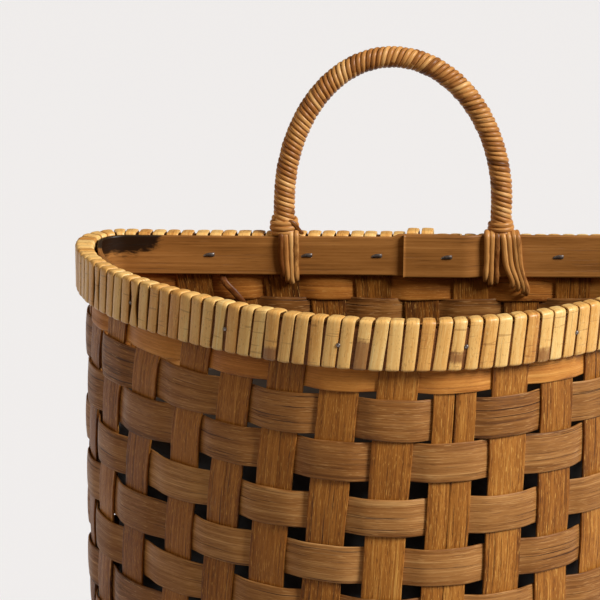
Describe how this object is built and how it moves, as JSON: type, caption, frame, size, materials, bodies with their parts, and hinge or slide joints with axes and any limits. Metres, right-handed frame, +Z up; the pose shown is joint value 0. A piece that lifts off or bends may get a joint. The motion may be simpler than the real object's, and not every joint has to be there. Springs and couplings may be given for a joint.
{
  "type": "umbrella stand",
  "caption": "Woven bamboo umbrella basket with a flat back, a round front, a bound rim, a wound hoop handle and a lift-out drip liner.",
  "frame": {"origin": "floor level, under the centre of the overall box", "axes": "+Z up, -Y towards the round front, +Y towards the flat back, +X to the right seen from the front"},
  "size_m": [0.3983, 0.2291, 0.6022],
  "materials": {
    "bamboo_stave": "split bamboo, dull brown with darker grain",
    "bamboo_binder": "split bamboo, lighter orange-brown",
    "bamboo_weaver": "split bamboo skin, satin, aged brown with nodes",
    "bamboo_mat": "split bamboo, dull",
    "bamboo_hoop": "thick split bamboo, satin",
    "rim_binding": "glossy cane skin, straw to tan with dark patches",
    "bamboo_band": "flat bamboo band, lacquered satin, reddish brown",
    "nail_steel": "dull wire nail",
    "handle_rod": "bent rattan rod",
    "rattan_winding": "fine split rattan, satin golden brown",
    "liner_plastic": "smooth dark plastic"
  },
  "bodies": {
    "basket": {"back_staves": "bamboo_stave", "base_cross_strips": "bamboo_mat", "base_deep_strips": "bamboo_mat", "foot_nails": "nail_steel", "handle_collars": "rattan_winding", "handle_core": "handle_rod", "handle_strands": "rattan_winding", "handle_wrap": "rattan_winding", "inner_foot_hoop": "bamboo_hoop", "inner_rim_band": "bamboo_band", "outer_foot_hoop": "bamboo_hoop", "rim_hoop": "bamboo_hoop", "rim_nails": "nail_steel", "rim_wraps": "rim_binding", "stave_00": "bamboo_stave", "stave_01": "bamboo_stave", "stave_02": "bamboo_stave", "stave_03": "bamboo_stave", "stave_04": "bamboo_stave", "stave_05": "bamboo_stave", "stave_06": "bamboo_stave", "stave_07": "bamboo_stave", "stave_08": "bamboo_stave", "stave_09": "bamboo_stave", "stave_21": "bamboo_stave", "stave_22": "bamboo_stave", "stave_23": "bamboo_stave", "stave_24": "bamboo_stave", "stave_25": "bamboo_stave", "stave_26": "bamboo_stave", "stave_27": "bamboo_stave", "stave_28": "bamboo_stave", "stave_29": "bamboo_stave", "weaver_00": "bamboo_binder", "weaver_01": "bamboo_weaver", "weaver_02": "bamboo_weaver", "weaver_03": "bamboo_weaver", "weaver_04": "bamboo_weaver", "weaver_05": "bamboo_weaver", "weaver_06": "bamboo_weaver", "weaver_07": "bamboo_weaver", "weaver_08": "bamboo_weaver", "weaver_09": "bamboo_weaver", "weaver_10": "bamboo_weaver", "weaver_11": "bamboo_weaver", "weaver_12": "bamboo_weaver", "weaver_13": "bamboo_weaver", "weaver_14": "bamboo_weaver"},
    "liner": {"drip_liner": "liner_plastic"}
  },
  "joints": [
    {"name": "liner_lift", "type": "slide", "parent": "basket", "child": "liner", "axis": [0, 0, 1], "range_m": [0, 0.47]}
  ]
}
